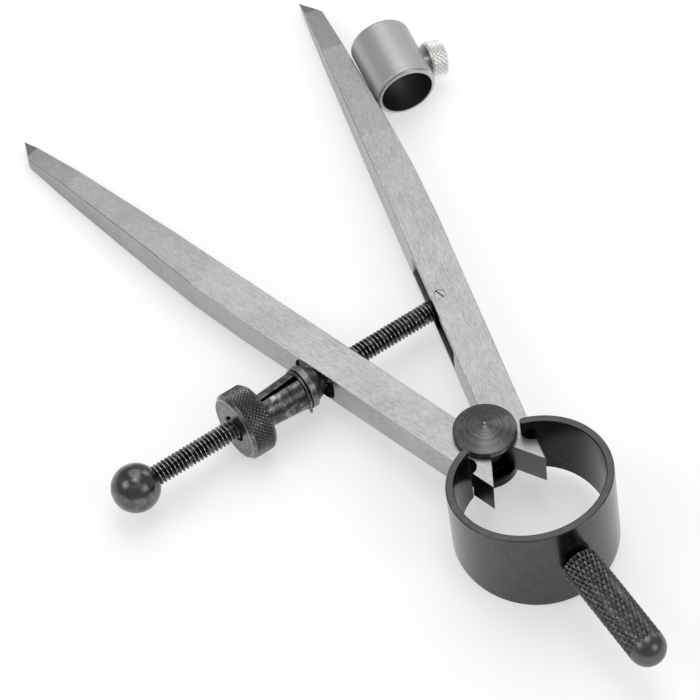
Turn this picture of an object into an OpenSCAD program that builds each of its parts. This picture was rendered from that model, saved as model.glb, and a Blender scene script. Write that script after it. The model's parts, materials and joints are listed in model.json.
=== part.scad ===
// Bow-spring divider with a quick-release nut, and its loose pencil holder.
// All lengths are in millimetres and all angles in degrees.
// The divider is drawn around its fulcrum: +Y runs up the middle between the points,
// +X towards the right leg and +Z out of the plane in which the legs swing.
// It is then laid down on the floor, on its bow, its nut and its right leg.

/* [Legs] */
// Fulcrum to point
leg_reach = 150; // [130:1:170]
// Width of a leg, in the plane in which it swings
leg_width = 9.7; // [9:0.1:11]
// Thickness of a leg, across that plane
leg_thick = 8.2; // [7.8:0.1:9.5]
// Angle of each leg from the middle line
leg_angle = 15.2; // [10:0.1:20]
// Fulcrum axis to the inner face of a leg
leg_inset = 1; // [0.5:0.1:1.5]
// Point to the middle line of its leg's pivot
point_offset = 0.75; // [0.3:0.05:1]
// Fulcrum to the outer corner of the leg's tail
tail_reach = 11.9; // [11:0.1:13]
// Slope of the cut across the tail
tail_slope = 45; // [43:1:46]
// Where the outer face starts to close in
side_taper_from = 68; // [58:1:74]
// Where that closing in becomes straight
side_taper_straight = 84; // [78:1:92]
// Width lost between those two stations
side_taper_ease = 0.5; // [0.2:0.05:0.7]
// Length of the steep bevel that makes the point
bevel_length = 5.8; // [4:0.1:7]
// Width of the leg where that bevel starts
bevel_width = 4.5; // [3:0.1:5]
// Where the leg starts to thin down
thin_from = 98; // [85:1:105]
// Length from the point to the ground facets on the top and bottom
facet_length = 20; // [14:0.5:22]
// Thickness where those facets start
facet_thick = 6.1; // [5:0.1:7]
// Length of the short bevels on the top and bottom of the point
tip_length = 4.5; // [3:0.1:6]
// Thickness where those bevels start
tip_thick = 2.6; // [1.5:0.1:3.5]
// Thickness of the very point
point_thick = 0.2; // [0.1:0.05:0.4]

/* [Slots in the legs] */
// Fulcrum to the near end of a slot, at the leg's inner face
slot_from = 26; // [20:0.5:30]
// Fulcrum to the far end of a slot, at the leg's inner face
slot_to = 57.5; // [55:0.5:61]
// How far each end of the blind slot runs in towards its floor
slot_run_out = 2; // [1:0.5:4]
// Fulcrum to the near end of the left leg's slot, at its outer face
slot_exit_from = 39; // [38:0.1:39.5]
// Fulcrum to the far end of the left leg's slot, at its outer face
slot_exit_to = 47.7; // [47.2:0.1:49]
// Depth of the blind slot in the right leg
slot_depth = 6.6; // [6.3:0.1:7]
// Gap over and under the screw in its slots
slot_gap = 0.45; // [0.3:0.05:0.6]

/* [Fulcrum stud] */
// Diameter of the stud's waist, on which the legs turn
waist_d = 9.2; // [8.6:0.1:9.6]
// Diameter of its head and of its foot
stud_head_d = 14.9; // [13.5:0.1:15.5]
// Height of the head's rim
stud_rim = 1.35; // [1:0.05:2]
// Rise of the head's cone above its rim
stud_cone = 2.35; // [1.5:0.05:3]
// Thickness of the foot
stud_foot = 2.95; // [2:0.05:3.5]
// Chamfer on the foot
stud_foot_chamfer = 0.5; // [0.2:0.05:0.8]
// Gap between the head and the top of the legs
stud_head_gap = 0.1; // [0.05:0.05:0.3]
// Gap between the foot and the underside of the legs
stud_foot_gap = 0.6; // [0.1:0.05:1]
// Radial clearance between the waist and the notches in the legs
waist_clearance = 0.06; // [0.02:0.01:0.1]

/* [Bow spring] */
// Radius of the strip's middle, round the back of the bow
bow_radius = 18.4; // [18:0.1:19.5]
// Radius of its middle where the ends turn in
bow_end_radius = 16.4; // [16:0.1:16.8]
// Where the ends start to turn in, above the bow's widest line
bow_end_from = 10; // [8:1:12]
// Where the ends stop
bow_end_to = 68.5; // [68:0.1:69]
// Thickness of the strip
bow_thick = 1.85; // [1.6:0.05:2]
// How much thinner it is where the ends turn in
bow_end_thin = 0.1; // [0.06:0.02:0.3]
// Height of the strip at the handle
bow_height = 26.2; // [23:0.1:28]
// Height of the strip opposite the handle
bow_tip_height = 16.2; // [15:0.1:18]
// Fulcrum to the centre of the bow
bow_back = 20.3; // [20.1:0.05:20.5]
// Drop of the bow's mid-height below the legs' mid-height
bow_drop = 0.5; // [0:0.1:1]
// How far the bow has turned on the fulcrum
bow_swing = 2.1; // [-2.5:0.1:2.5]
// How far the bow has leaned over sideways about the handle
bow_lean = 2.8; // [-3:0.1:3]
// Depth of a leg's outer notch beyond the rounded end of the strip
hook_room = 1.6; // [1.4:0.05:2.4]
// Lean of that notch towards the tail
hook_lean = 27; // [20:1:35]
// Gap between the strip's end and its notch
hook_gap = 0.05; // [0:0.01:0.1]

/* [Handle] */
// Diameter over the knurling
handle_d = 9.1; // [8:0.1:10]
// Bow to the centre of the handle's domed end
handle_length = 28.2; // [24:0.1:34]
// Chamfer at the root of the knurled stem
handle_chamfer = 0.8; // [0.3:0.1:1.5]
// Diameter of the tenon that passes through the bow
tenon_d = 4; // [3:0.1:4.5]
// Diameter of the rivet head inside the bow
rivet_d = 6.4; // [5.5:0.1:7]
// Height of the rivet head
rivet_height = 1; // [0.6:0.1:1.4]

/* [Adjusting screw] */
// Outside diameter of the thread
screw_d = 5.1; // [4.8:0.1:5.3]
// Thread pitch
screw_pitch = 1.03; // [0.9:0.01:1.4]
// Depth of the thread
thread_depth = 0.55; // [0.4:0.05:0.7]
// Pivot pin to the centre of the ball
screw_length = 87.3; // [85:0.1:95]
// Plain length at the pivot end
screw_plain = 3.4; // [3:0.1:5]
// Diameter of the ball
ball_d = 11.7; // [10:0.1:12]
// Depth of the screw's seat in the ball
ball_seat = 3.5; // [2:0.1:4.5]
// Slope of the screw from square across the middle line
screw_slope = 3.2; // [2.5:0.1:4]
// Fulcrum to the pivot pin, along the right leg
pin_station = 43.3; // [42:0.1:44]
// Fulcrum axis to the pivot pin, across the right leg
pin_across = 3.25; // [3:0.05:3.6]
// Diameter of the pivot pin
pin_d = 2.8; // [2.4:0.1:3]
// Radial clearance of the screw's eye on the pin
pin_clearance = 0.05; // [0.02:0.01:0.1]
// Width of the driver slot in the pin
pin_slot_width = 0.5; // [0.3:0.05:0.7]
// Depth of the driver slot in the pin
pin_slot_depth = 0.4; // [0.2:0.05:0.6]

/* [Seat cup] */
// Radius of the cup's domed nose
dome_radius = 4.4; // [4.3:0.05:4.8]
// Radius of the cup's plain band
band_radius = 5.4; // [5.2:0.05:5.7]
// Length of the cup's plain band
cup_band = 1.7; // [1.4:0.1:2.5]
// Height of the seat milled in the left leg
seat_height = 7.6; // [7.2:0.05:7.7]
// Depth of that seat
seat_depth = 1.3; // [1.2:0.1:1.6]
// Travel of the nose along that seat
seat_travel = 4.4; // [4:0.1:5]
// Gap between the nose and its seat, along the screw
seat_gap = 0.5; // [0.4:0.05:0.7]
// Radial clearance of the cup round the screw
cup_clearance = 0.35; // [0.2:0.05:0.5]
// Radius of the cup's cone at its rim
cup_cone_radius = 4.6; // [4.4:0.05:4.8]
// Half angle of that cone
cup_cone_angle = 24; // [22:1:28]
// Depth of the cone
cup_cone_depth = 1.6; // [1.4:0.1:2]

/* [Quick-release nut] */
// Diameter of the knurled collar
collar_d = 17.1; // [16:0.1:18]
// Length of the collar
collar_length = 6.8; // [6:0.1:7.5]
// Chamfer of the collar
collar_chamfer = 0.9; // [0.4:0.1:1.2]
// Radial clearance of the collar's bore round the screw
collar_bore_clearance = 0.75; // [0.5:0.05:1]
// Depth of the recess that holds the jaws
collar_recess = 2.4; // [2:0.1:3]
// Radial clearance of the jaws in that recess
jaw_root_clearance = 0.3; // [0.2:0.05:0.4]
// Cup's rim to the collar
neck_length = 12.2; // [11:0.1:12.8]
// Radius of the jaws at the collar
neck_root_radius = 4.05; // [4:0.05:4.3]
// Radius of the jaws at the cup
neck_tip_radius = 4.85; // [4.6:0.05:5]
// Length of the jaws' cone inside the cup
jaw_nose = 1.3; // [1:0.1:1.4]
// Gap between that cone and the cup's
jaw_nose_gap = 0.15; // [0.1:0.05:0.2]
// Radial clearance of the jaws' thread on the screw
thread_clearance = 0.05; // [0.02:0.01:0.1]
// Length of the jaws' thread
jaw_thread = 5; // [4:0.1:7]
// Radial clearance of the jaws behind their thread
jaw_relief = 0.6; // [0.4:0.05:0.7]
// Width of the split between the jaws at the cup
split_tip = 1.9; // [1.4:0.1:2.2]
// Width of the split between the jaws at the collar
split_root = 0.4; // [0.3:0.05:0.6]
// Wire diameter of the spring ring
ring_wire_d = 0.8; // [0.6:0.05:1.2]
// Depth of the groove in which the ring sits
ring_groove = 0.45; // [0.2:0.05:0.5]

/* [Pencil holder] */
// Outside diameter of the ring
holder_d = 15.6; // [15.4:0.1:17]
// Bore of the ring
holder_bore = 13.1; // [12:0.1:13.3]
// Length of the ring
holder_length = 18.2; // [15:0.1:22]
// Fulcrum to the middle of the ring, along the right leg
holder_station = 117; // [105:0.5:120]
// Gap between the ring and the right leg
holder_gap = 0.3; // [0.3:0.05:3]
// Radius of the rounded outer edges of the ring
holder_round = 1; // [0.3:0.1:1]

/* [Thumb screw] */
// Diameter of the knurled head
thumb_d = 9.7; // [8.5:0.1:11]
// Thickness of the head
thumb_thick = 4.4; // [4:0.1:6]
// Chamfer of the head
thumb_chamfer = 0.5; // [0.2:0.05:0.8]
// Gap between the head and the ring
thumb_gap = 0.65; // [0.5:0.05:1.5]
// Diameter of its thread
thumb_thread_d = 3; // [2.5:0.1:4]
// Radial clearance of its thread in the ring
thumb_clearance = 0.05; // [0.02:0.01:0.1]
// Distance of its tip from the bore
thumb_tip_back = 0.3; // [0.2:0.05:0.6]
// Dip of the screw below level
thumb_dip = 8; // [0:1:15]
// Middle of the ring to the screw, towards the fulcrum
thumb_back = 1; // [0:0.1:3]

/* [Hidden] */
$fn = 96;
// Reach of a cut beyond the faces that it leaves
over = 1;

// Outer face of a leg, from the fulcrum axis
leg_outer = leg_inset + leg_width;
// Where the last facets and the bevel start
facet_from = leg_reach - facet_length;
bevel_from = leg_reach - bevel_length;
// Outer edge of a leg at the stations that shape it
straight_outer = leg_outer - side_taper_ease;
bevel_outer = point_offset + bevel_width;
side_slope = (straight_outer - bevel_outer) / (bevel_from - side_taper_straight);
function outer_at(station) = straight_outer - side_slope * (station - side_taper_straight);

// Unit vectors of the right leg and of the left leg, along and across
along_right = [sin(leg_angle), cos(leg_angle), 0];
across_right = [cos(leg_angle), -sin(leg_angle), 0];
across_left = [-cos(leg_angle), -sin(leg_angle), 0];

// The screw turns in the right leg on the pin. The cup turns about the mirror image of the pin
// in the square from the fulcrum to the screw, so that the screw keeps its slope as the legs open.
pin_place = along_right * pin_station + across_right * pin_across;
screw_way = [-cos(screw_slope), -sin(screw_slope), 0];
pin_to_foot = -(pin_place * screw_way);
cup_pivot = 2 * pin_to_foot;
ball_place = pin_place + screw_way * screw_length;

// Stations along the screw, from the pin
face_station = (leg_outer - pin_place * across_left) / (screw_way * across_left);
dome_rise = sqrt(pow(dome_radius, 2) - pow(seat_height / 2, 2)) + seat_gap;
dome_station = face_station + dome_rise / (screw_way * across_left);
rim_station = dome_station + cup_band;
ring_station = rim_station + ring_wire_d / 2 + 0.1;
collar_station = rim_station + neck_length;
collar_end = collar_station + collar_length;
jaw_end = collar_station + collar_recess - 0.1;
jaw_tip = rim_station - jaw_nose;

// Radii round the screw
screw_radius = screw_d / 2;
slot_height = screw_d + 2 * slot_gap;
cup_bore = screw_radius + cup_clearance;
thread_bore = screw_radius + thread_clearance;
jaw_bore = screw_radius + jaw_relief;
jaw_nose_rim = cup_cone_radius - jaw_nose_gap;
jaw_nose_tip = jaw_nose_rim - jaw_nose * tan(cup_cone_angle);
ring_middle = neck_tip_radius - ring_groove + ring_wire_d / 2;

// The stud, from the legs' mid-height
head_under = leg_thick / 2 + stud_head_gap;
head_rim = head_under + stud_rim;
foot_top = -leg_thick / 2 - stud_foot_gap;
foot_bottom = foot_top - stud_foot;

// The bow, in its own turned frame
bow_outer = bow_radius + bow_thick / 2;
bow_inner = bow_radius - bow_thick / 2;
bow_centre = [0, -bow_back];
bow_end_shift = bow_radius - bow_end_radius;
bow_end_centre = bow_centre + bow_end_shift * [cos(bow_end_from), sin(bow_end_from)];
bow_tip = bow_end_centre + bow_end_radius * [cos(bow_end_to), sin(bow_end_to)];
bow_fall = (bow_height - bow_tip_height) / 2 / (2 * bow_outer);
// The strip's end seen from the right leg: along it and across it
hook_along = bow_tip.x * sin(leg_angle) + bow_tip.y * cos(leg_angle);
hook_across = bow_tip.x * cos(leg_angle) - bow_tip.y * sin(leg_angle);
// The turn of the bow carries its ends along the notches, towards one wall
hook_drift = norm(bow_tip) * sin(abs(bow_swing)) * sin(hook_lean);
notch_radius = bow_thick / 2 + hook_room;
notch_shift = hook_room - hook_gap - hook_drift;

// Axes of the bow after it has swung and leaned
bow_side = [
    cos(bow_lean) * cos(bow_swing),
    -cos(bow_lean) * sin(bow_swing),
    sin(bow_lean)
];
bow_ahead = [sin(bow_swing), cos(bow_swing), 0];
bow_top = cross(bow_side, bow_ahead);

// The floor touches the back of the bow, the nut's collar and the right leg.
// The lower side of a bow that leans touches first, by a first guess of the floor's slope.
first_slope = (bow_height / 2 + bow_drop - facet_thick / 2) / (bow_back + bow_outer + facet_from);
bow_touch_turn = atan2(sin(bow_lean), bow_fall - first_slope);
bow_touch = [0, 0, -bow_drop] - bow_side * bow_outer * sin(bow_touch_turn)
    - bow_ahead * (bow_back + bow_outer * cos(bow_touch_turn))
    - bow_top * (bow_height / 2 - bow_fall * bow_outer * (1 - cos(bow_touch_turn)));
collar_middle = pin_place + screw_way * (collar_station + collar_length / 2);
collar_touch = collar_middle - [0, 0, collar_d / 2];
leg_touch = along_right * facet_from + across_right * outer_at(facet_from)
    - [0, 0, facet_thick / 2];
floor_cross = cross(collar_touch - bow_touch, leg_touch - bow_touch);
floor_up = floor_cross * sign(floor_cross.z) / norm(floor_cross);
pitch = atan2(floor_up.y, floor_up.z);
roll = -atan2(floor_up.x, norm([floor_up.y, floor_up.z]));

// Height of the lowest point of the bow over the floor's slope, from its own curves
bow_up = [bow_side * floor_up, bow_ahead * floor_up, bow_top * floor_up];
bow_pull = [bow_up.x, bow_up.y + bow_fall * bow_up.z];
bow_low = -bow_drop * floor_up.z - bow_back * bow_up.y - bow_outer * norm(bow_pull)
    - bow_up.z * (bow_height / 2 - bow_fall * bow_outer);
// The same for the collar and for the right leg
collar_lean = abs(screw_way * floor_up);
collar_low = collar_middle * floor_up - collar_d / 2 * sqrt(1 - pow(collar_lean, 2))
    - (collar_length / 2 - collar_chamfer) * collar_lean;
leg_low = leg_touch * floor_up;
floor_lift = -min(bow_low, collar_low, leg_low);

// A point of the divider after it is laid down, before it is centred
function laid(place) = [
    place.x * cos(roll) + (place.y * sin(pitch) + place.z * cos(pitch)) * sin(roll),
    place.y * cos(pitch) - place.z * sin(pitch),
    -place.x * sin(roll) + (place.y * sin(pitch) + place.z * cos(pitch)) * cos(roll) + floor_lift
];

// The ring stands along the tapered outer face of the right leg
holder_heading = leg_angle - atan(side_slope);
holder_way = [sin(holder_heading), cos(holder_heading)];
holder_out = [cos(holder_heading), -sin(holder_heading)];
edge_corner = laid(
    along_right * holder_station + across_right * outer_at(holder_station) + [0, 0, leg_thick / 2]
);
holder_middle = [edge_corner.x, edge_corner.y] + holder_out * (holder_d / 2 + holder_gap);
thumb_face = holder_d / 2 + thumb_gap;
thumb_out = thumb_face + thumb_thick;

// Limits of the whole part, from which its middle is found
handle_end = [
    -(bow_outer + bow_back + handle_length) * sin(bow_swing),
    -(bow_outer + bow_back + handle_length) * cos(bow_swing),
    -bow_drop
];
thumb_side = holder_out * cos(thumb_dip);
x_low = laid(ball_place).x - ball_d / 2;
x_high = holder_middle.x + thumb_side.x * thumb_out
    + (thumb_d / 2 - thumb_chamfer) * sqrt(1 - pow(thumb_side.x, 2));
y_low = laid(handle_end).y - handle_d / 2;
y_high = laid(along_right * leg_reach + across_right * point_offset).y;
middle = [(x_low + x_high) / 2, (y_low + y_high) / 2];

// Lays a piece of the divider down on the floor
module laid_down() {
    translate([-middle.x, -middle.y, floor_lift]) rotate([pitch, roll, 0]) children();
}

// Turns a piece with the bow, about the fulcrum and about the handle
module with_bow() {
    rotate([0, 0, -bow_swing]) translate([0, 0, -bow_drop]) rotate([0, -bow_lean, 0]) children();
}

// Puts a piece on the screw's axis: local Z runs from the pin to the ball, local Y is up
module on_screw() {
    translate(pin_place) rotate([90, 0, screw_slope - 90]) children();
}

// Puts a piece on the handle's axis: local Z runs from the bow's centre outwards
module on_handle() {
    with_bow() translate([0, -bow_back, 0]) rotate([90, 0, 0]) children();
}

// Puts a piece on the ring's axis: local Z runs along the ring towards the points, local Y is up
module on_holder() {
    translate([holder_middle.x - middle.x, holder_middle.y - middle.y, holder_d / 2])
        rotate([90, 0, 180 - holder_heading]) children();
}

// Plan of a leg: X across it, Y along it
module leg_plan() {
    inner_tail = -tail_reach + (leg_outer - leg_inset) / tan(tail_slope);
    polygon([
        [leg_inset, inner_tail],
        [leg_outer, -tail_reach],
        [leg_outer, side_taper_from],
        [straight_outer, side_taper_straight],
        [bevel_outer, bevel_from],
        [point_offset, leg_reach]
    ]);
}

// Side view of a leg: X along it, Y up
module leg_side() {
    polygon([
        [-tail_reach - over, -leg_thick / 2],
        [thin_from, -leg_thick / 2],
        [facet_from, -facet_thick / 2],
        [leg_reach - tip_length, -tip_thick / 2],
        [leg_reach, -point_thick / 2],
        [leg_reach, point_thick / 2],
        [leg_reach - tip_length, tip_thick / 2],
        [facet_from, facet_thick / 2],
        [thin_from, leg_thick / 2],
        [-tail_reach - over, leg_thick / 2]
    ]);
}

// Slot for the screw, open at the inner face. Its depth and its ends at that depth are given.
module screw_slot(depth, near, far) {
    near_slope = (near - slot_from) / depth;
    far_slope = (slot_to - far) / depth;
    translate([0, 0, -slot_height / 2]) linear_extrude(slot_height) polygon([
        [leg_inset - over, slot_from - near_slope * over],
        [leg_inset + depth, near],
        [leg_inset + depth, far],
        [leg_inset - over, slot_to + far_slope * over]
    ]);
}

// One leg, still square to the middle line, with its notches
module leg_blank() {
    difference() {
        intersection() {
            translate([0, 0, -leg_thick]) linear_extrude(2 * leg_thick) leg_plan();
            rotate([90, 0, 90]) linear_extrude(leg_outer + over) leg_side();
        }
        cylinder(h = 2 * leg_thick, r = waist_d / 2 + waist_clearance, center = true);
        translate([
            hook_across + notch_shift * cos(hook_lean),
            hook_along - notch_shift * sin(hook_lean),
            0
        ]) cylinder(h = 2 * leg_thick, r = notch_radius, center = true);
    }
}

module leg_right() {
    color("silver") laid_down() rotate([0, 0, -leg_angle]) difference() {
        leg_blank();
        screw_slot(slot_depth, slot_from + slot_run_out, slot_to - slot_run_out);
        translate([pin_across, pin_station, 0])
            cylinder(h = 2 * leg_thick, d = pin_d, center = true);
    }
}

// Seat for the cup's nose: a round-ended pocket in the outer face of the left leg
module cup_seat() {
    pivot_place = pin_place + screw_way * cup_pivot;
    nose_from = pivot_place.x * -sin(leg_angle) + pivot_place.y * cos(leg_angle) - seat_travel / 4;
    translate([leg_outer - seat_depth, nose_from, 0]) {
        rotate([0, 90, 0]) cylinder(h = seat_depth + over, d = seat_height);
        translate([0, seat_travel, 0]) rotate([0, 90, 0])
            cylinder(h = seat_depth + over, d = seat_height);
        translate([0, 0, -seat_height / 2]) cube([seat_depth + over, seat_travel, seat_height]);
    }
}

module leg_left() {
    color("silver") laid_down() mirror([1, 0, 0]) rotate([0, 0, -leg_angle]) difference() {
        leg_blank();
        screw_slot(leg_width + over, slot_exit_from, slot_exit_to);
        cup_seat();
    }
}

module fulcrum_stud() {
    color("dimgray") laid_down() rotate_extrude() polygon([
        [0, foot_bottom],
        [stud_head_d / 2 - stud_foot_chamfer, foot_bottom],
        [stud_head_d / 2, foot_bottom + stud_foot_chamfer],
        [stud_head_d / 2, foot_top - stud_foot_chamfer],
        [stud_head_d / 2 - stud_foot_chamfer, foot_top],
        [waist_d / 2, foot_top],
        [waist_d / 2, head_under],
        [stud_head_d / 2, head_under],
        [stud_head_d / 2, head_rim],
        [0, head_rim + stud_cone]
    ]);
}

// Cross-section of the bow's strip at a radius, tall enough for its whole taper
module strip_section(radius, thick) {
    translate([radius - thick / 2, -bow_height / 2 - over])
        square([thick, bow_height + 2 * over]);
}

// One turned-in end of the bow, on the right, started a little inside the thicker strip
module bow_end() {
    start = bow_end_from - 2;
    translate([bow_end_centre.x, bow_end_centre.y, 0])
        rotate([0, 0, start]) rotate_extrude(angle = bow_end_to - start)
            strip_section(bow_end_radius, bow_thick - bow_end_thin);
    translate([bow_tip.x, bow_tip.y, 0])
        cylinder(h = bow_height + 2 * over, d = bow_thick, center = true);
}

// The taper in the strip's height: X along the divider, Y up
module bow_taper() {
    back = -bow_back - bow_outer;
    front = back + 2 * bow_outer;
    polygon([
        [back - over, -bow_height / 2 - bow_fall * over],
        [front, -bow_tip_height / 2],
        [front, bow_tip_height / 2],
        [back - over, bow_height / 2 + bow_fall * over]
    ]);
}

module bow_spring() {
    color("dimgray") laid_down() with_bow() difference() {
        intersection() {
            union() {
                translate([bow_centre.x, bow_centre.y, 0]) rotate([0, 0, -180 - bow_end_from])
                    rotate_extrude(angle = 180 + 2 * bow_end_from)
                        strip_section(bow_radius, bow_thick);
                bow_end();
                mirror([1, 0, 0]) bow_end();
            }
            translate([-bow_outer - over, 0, 0]) rotate([90, 0, 90])
                linear_extrude(2 * (bow_outer + over)) bow_taper();
        }
        translate([0, -bow_back, 0]) rotate([90, 0, 0])
            cylinder(h = bow_outer + over, d = tenon_d);
    }
}

module handle() {
    // The rivet head stands clear of the strip's hollow side by the strip's own curve
    rivet_from = sqrt(pow(bow_inner, 2) - pow(rivet_d / 2, 2)) - rivet_height;
    color("dimgray") laid_down() on_handle() rotate_extrude() union() {
        polygon([
            [0, rivet_from],
            [rivet_d / 2 - rivet_height / 2, rivet_from],
            [rivet_d / 2, rivet_from + rivet_height],
            [tenon_d / 2, rivet_from + rivet_height],
            [tenon_d / 2, bow_outer],
            [handle_d / 2 - handle_chamfer, bow_outer],
            [handle_d / 2, bow_outer + handle_chamfer],
            [handle_d / 2, bow_outer + handle_length],
            [0, bow_outer + handle_length]
        ]);
        translate([0, bow_outer + handle_length]) intersection() {
            circle(d = handle_d);
            square(handle_d);
        }
    }
}

// The thread is drawn as rings, one to each pitch
module adjusting_screw() {
    thread_end = screw_length - ball_d / 2 - 0.2;
    seat_end = screw_length - ball_d / 2 + ball_seat;
    turns = floor((thread_end - screw_plain) / screw_pitch);
    root = screw_radius - thread_depth;
    color("dimgray") laid_down() on_screw() difference() {
        union() {
            rotate_extrude() polygon(concat(
                [[0, 0], [screw_radius, 0], [screw_radius, screw_plain]],
                [
                    for (turn = [0:turns - 1], edge = [[0.5, 0], [0.9, 1], [1, 1]])
                    [
                        root + thread_depth * edge[1],
                        screw_plain + screw_pitch * (turn + edge[0])
                    ]
                ],
                [[root, thread_end], [root, seat_end], [0, seat_end]]
            ));
            sphere(r = screw_radius);
        }
        rotate([90, 0, 0]) cylinder(h = screw_d + over, d = pin_d + 2 * pin_clearance, center = true);
    }
}

module screw_ball() {
    root = screw_radius - thread_depth;
    color("dimgray") laid_down() on_screw() translate([0, 0, screw_length]) difference() {
        sphere(d = ball_d);
        translate([0, 0, -ball_d / 2 - over]) cylinder(h = ball_seat + over, r = root);
    }
}

module screw_pivot_pin() {
    color("silver") laid_down() rotate([0, 0, -leg_angle])
        translate([pin_across, pin_station, 0]) difference() {
            cylinder(h = leg_thick, d = pin_d, center = true);
            rotate([0, 0, 118]) translate([-pin_d, -pin_slot_width / 2, leg_thick / 2 - pin_slot_depth])
                cube([2 * pin_d, pin_slot_width, pin_slot_depth + over]);
        }
}

module seat_cup() {
    cone_floor = cup_cone_radius - cup_cone_depth * tan(cup_cone_angle);
    color("dimgray") laid_down() on_screw() translate([0, 0, dome_station]) difference() {
        union() {
            cylinder(h = cup_band, r = band_radius);
            intersection() {
                sphere(r = dome_radius);
                translate([0, 0, -dome_radius]) cylinder(h = dome_radius, r = dome_radius + over);
            }
        }
        translate([0, 0, -dome_radius - over])
            cylinder(h = 2 * dome_radius + cup_band, r = cup_bore);
        translate([0, 0, cup_band - cup_cone_depth])
            cylinder(h = cup_cone_depth, r1 = cone_floor, r2 = cup_cone_radius);
    }
}

module nut_collar() {
    bore = screw_radius + collar_bore_clearance;
    recess = neck_root_radius + jaw_root_clearance;
    outer = collar_d / 2;
    color("dimgray") laid_down() on_screw() translate([0, 0, collar_station])
        rotate_extrude() polygon([
            [recess, 0],
            [outer - collar_chamfer, 0],
            [outer, collar_chamfer],
            [outer, collar_length - collar_chamfer],
            [outer - collar_chamfer, collar_length],
            [bore, collar_length],
            [bore, collar_recess],
            [recess, collar_recess]
        ]);
}

// Both jaws as one turned sleeve, before the split
module jaw_sleeve() {
    groove_from = ring_station - ring_wire_d / 2 - 0.05;
    groove_to = ring_station + ring_wire_d / 2 + 0.05;
    thread_to = jaw_tip + jaw_thread;
    groove_radius = neck_tip_radius - ring_groove;
    rotate_extrude() polygon([
        [thread_bore, jaw_tip],
        [jaw_nose_tip, jaw_tip],
        [jaw_nose_rim, rim_station],
        [groove_radius, groove_from],
        [groove_radius, groove_to],
        [neck_tip_radius, groove_to],
        [neck_root_radius, collar_station],
        [neck_root_radius, jaw_end],
        [jaw_bore, jaw_end],
        [jaw_bore, thread_to],
        [thread_bore, thread_to]
    ]);
}

// The half of the sleeve on one side of the split: side is 1 towards the bow, -1 towards the points
module jaw(side) {
    wide = 2 * neck_tip_radius;
    color("dimgray") laid_down() on_screw() intersection() {
        jaw_sleeve();
        rotate([90, 0, 0]) translate([0, 0, -wide]) linear_extrude(2 * wide) polygon([
            [side * split_tip / 2, jaw_tip - over],
            [side * wide, jaw_tip - over],
            [side * wide, jaw_end + over],
            [side * split_root / 2, jaw_end + over]
        ]);
    }
}

module nut_jaw_point_side() {
    jaw(-1);
}

module nut_jaw_bow_side() {
    jaw(1);
}

module nut_spring_ring() {
    color("dimgray") laid_down() on_screw() translate([0, 0, ring_station])
        rotate_extrude() translate([ring_middle, 0]) circle(d = ring_wire_d);
}

module pencil_ring() {
    bore = holder_bore / 2;
    outer = holder_d / 2;
    half = holder_length / 2;
    color("lightgray") on_holder() difference() {
        rotate_extrude() difference() {
            translate([bore, -half]) square([outer - bore, holder_length]);
            for (side = [-1, 1]) translate([outer - holder_round, side * (half - holder_round)])
                difference() {
                    translate([0, min(0, side) * (holder_round + over)])
                        square([holder_round + over, holder_round + over]);
                    circle(r = holder_round);
                }
        }
        on_thumb() cylinder(h = outer + over, d = thumb_thread_d + 2 * thumb_clearance);
    }
}

// Local Z runs out through the thumb screw, away from the leg
module on_thumb() {
    translate([0, 0, -thumb_back]) rotate([thumb_dip, -90, 0]) children();
}

module thumb_screw() {
    tip = holder_bore / 2 + thumb_tip_back;
    head = thumb_d / 2;
    color("silver") on_holder() on_thumb() rotate_extrude() polygon([
        [0, tip],
        [thumb_thread_d / 2, tip],
        [thumb_thread_d / 2, thumb_face],
        [head - thumb_chamfer, thumb_face],
        [head, thumb_face + thumb_chamfer],
        [head, thumb_out - thumb_chamfer],
        [head - thumb_chamfer, thumb_out],
        [0, thumb_out]
    ]);
}

leg_right();
leg_left();
fulcrum_stud();
bow_spring();
handle();
adjusting_screw();
screw_ball();
screw_pivot_pin();
seat_cup();
nut_collar();
nut_jaw_point_side();
nut_jaw_bow_side();
nut_spring_ring();
pencil_ring();
thumb_screw();
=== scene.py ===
# Bow-spring divider with a quick-release nut and a loose pencil holder:
# meshes, finishes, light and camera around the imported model.
import json
import math

import bmesh
import bpy
import numpy as np
from mathutils import Matrix, Vector


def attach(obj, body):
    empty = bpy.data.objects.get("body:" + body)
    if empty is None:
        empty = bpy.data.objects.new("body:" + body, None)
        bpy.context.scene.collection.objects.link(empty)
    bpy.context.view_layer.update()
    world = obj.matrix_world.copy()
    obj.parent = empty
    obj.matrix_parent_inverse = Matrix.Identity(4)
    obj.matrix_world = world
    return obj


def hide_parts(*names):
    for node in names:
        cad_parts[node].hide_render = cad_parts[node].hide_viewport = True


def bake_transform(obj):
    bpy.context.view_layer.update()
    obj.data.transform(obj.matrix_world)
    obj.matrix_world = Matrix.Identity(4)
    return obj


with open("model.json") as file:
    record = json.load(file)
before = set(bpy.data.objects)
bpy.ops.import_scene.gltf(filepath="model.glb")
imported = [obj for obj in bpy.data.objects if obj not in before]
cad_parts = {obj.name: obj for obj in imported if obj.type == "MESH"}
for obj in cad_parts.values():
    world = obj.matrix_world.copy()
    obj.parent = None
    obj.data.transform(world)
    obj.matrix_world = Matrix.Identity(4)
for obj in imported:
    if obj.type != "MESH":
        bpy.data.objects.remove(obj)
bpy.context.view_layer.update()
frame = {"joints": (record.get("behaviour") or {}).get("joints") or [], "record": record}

mm = 0.001  # meshes are drawn in millimetres, in each piece's own axes

# Where the pieces stand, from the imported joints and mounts.

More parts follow.
